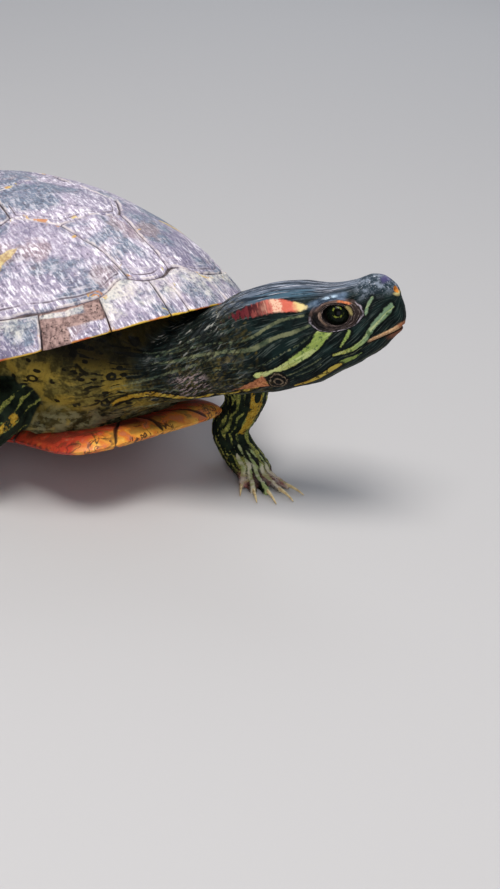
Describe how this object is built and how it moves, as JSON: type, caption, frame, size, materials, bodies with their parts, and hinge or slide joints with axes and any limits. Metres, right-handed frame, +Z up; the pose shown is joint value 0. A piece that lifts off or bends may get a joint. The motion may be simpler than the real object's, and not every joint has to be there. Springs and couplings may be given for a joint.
{
  "type": "red-eared slider turtle",
  "caption": "Life-size slider turtle raised on its forelegs, neck stretched out and turned to its left, with a domed shell of separate plates.",
  "frame": {"origin": "on the floor under the rear of the plastron, where the belly rests", "axes": "+X ahead along the shell, +Y to the turtle's left, +Z up"},
  "size_m": [0.2778, 0.2287, 0.0953],
  "materials": {
    "carapace": "weathered horn plates in grey-violet with slate patches, pale scratches and ringed borders",
    "plastron": "smooth horn, red-orange to yellow with dark seams and smudges",
    "skin": "folded reptile skin, dark green with yellow stripes and a red stripe behind each eye; horn beak and claws included",
    "eye": "wet and glossy, black with a yellow-green ring"
  },
  "bodies": {
    "root": {"marginal_right_10": "carapace", "marginal_right_11": "carapace", "marginal_right_09": "carapace", "costal_right_4": "carapace", "marginal_right_12": "carapace", "vertebral_5": "carapace", "marginal_right_08": "carapace", "marginal_right_07": "carapace", "costal_right_3": "carapace", "marginal_right_06": "carapace", "costal_right_2": "carapace", "vertebral_4": "carapace", "vertebral_3": "carapace", "marginal_left_12": "carapace", "marginal_left_11": "carapace", "costal_left_4": "carapace", "marginal_left_10": "carapace", "marginal_left_09": "carapace", "marginal_left_08": "carapace", "marginal_left_07": "carapace", "costal_left_3": "carapace", "marginal_left_06": "carapace", "costal_left_2": "carapace", "marginal_right_05": "carapace", "marginal_right_04": "carapace", "costal_right_1": "carapace", "marginal_right_03": "carapace", "marginal_right_02": "carapace", "marginal_right_01": "carapace", "nuchal": "carapace", "vertebral_2": "carapace", "vertebral_1": "carapace", "marginal_left_05": "carapace", "marginal_left_04": "carapace", "costal_left_1": "carapace", "marginal_left_02": "carapace", "marginal_left_01": "carapace", "marginal_left_03": "carapace", "plastron_gular": "plastron", "plastron_humeral": "plastron", "plastron_pectoral": "plastron", "plastron_abdominal": "plastron", "plastron_femoral": "plastron", "plastron_anal": "plastron", "head": "skin", "jaw": "skin", "neck": "skin", "eye_left": "eye", "eye_right": "eye", "foreleg_left": "skin", "foreleg_left_foot": "skin", "foreleg_right": "skin", "foreleg_right_foot": "skin", "hindleg_left": "skin", "hindleg_left_foot": "skin", "hindleg_right": "skin", "hindleg_right_foot": "skin", "tail": "skin", "trunk": "skin"}
  },
  "joints": []
}
